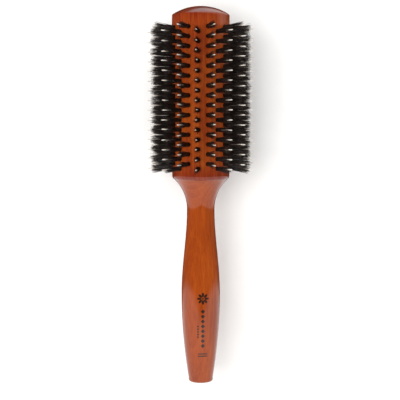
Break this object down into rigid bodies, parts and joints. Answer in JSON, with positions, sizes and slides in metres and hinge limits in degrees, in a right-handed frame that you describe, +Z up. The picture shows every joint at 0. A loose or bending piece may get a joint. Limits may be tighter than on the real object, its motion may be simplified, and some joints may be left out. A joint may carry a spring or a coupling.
{
  "type": "round hair brush",
  "caption": "Round brush with a turned wooden handle and a cylindrical wooden barrel set all round with staggered rows of dark bristle tufts, a pale pin in each.",
  "frame": {"origin": "on the table, under the middle of the brush's length, with the brush lying on the tips of its pins", "axes": "+Y along the brush's axis from the end of the handle to the crown of the barrel, +Z up, +X to the right when the brush is seen from above with its crown away"},
  "size_m": [0.071, 0.25, 0.0699],
  "materials": {
    "barrel_wood": "stained red-brown, clear gloss lacquer",
    "handle_wood": "stained orange-brown, clear gloss lacquer",
    "bristle": "boar bristle, dark brown to black, satin",
    "pin": "translucent white nylon",
    "anchor": "plain drawn flat wire"
  },
  "bodies": {
    "root": {"barrel": "barrel_wood", "handle": "handle_wood", "bristle_row_01": "bristle", "bristle_row_02": "bristle", "bristle_row_03": "bristle", "bristle_row_04": "bristle", "bristle_row_05": "bristle", "bristle_row_06": "bristle", "bristle_row_07": "bristle", "bristle_row_08": "bristle", "bristle_row_09": "bristle", "bristle_row_10": "bristle", "bristle_row_11": "bristle", "bristle_row_12": "bristle", "bristle_row_13": "bristle", "bristle_row_14": "bristle", "bristle_row_15": "bristle", "bristle_row_16": "bristle", "bristle_row_17": "bristle", "bristle_row_18": "bristle", "pin_row_01": "pin", "pin_row_02": "pin", "pin_row_03": "pin", "pin_row_04": "pin", "pin_row_05": "pin", "pin_row_06": "pin", "pin_row_07": "pin", "pin_row_08": "pin", "pin_row_09": "pin", "pin_row_10": "pin", "pin_row_11": "pin", "pin_row_12": "pin", "pin_row_13": "pin", "pin_row_14": "pin", "pin_row_15": "pin", "pin_row_16": "pin", "pin_row_17": "pin", "pin_row_18": "pin", "anchor_row_01": "anchor", "anchor_row_02": "anchor", "anchor_row_03": "anchor", "anchor_row_04": "anchor", "anchor_row_05": "anchor", "anchor_row_06": "anchor", "anchor_row_07": "anchor", "anchor_row_08": "anchor", "anchor_row_09": "anchor", "anchor_row_10": "anchor", "anchor_row_11": "anchor", "anchor_row_12": "anchor", "anchor_row_13": "anchor", "anchor_row_14": "anchor", "anchor_row_15": "anchor", "anchor_row_16": "anchor", "anchor_row_17": "anchor", "anchor_row_18": "anchor"}
  },
  "joints": []
}
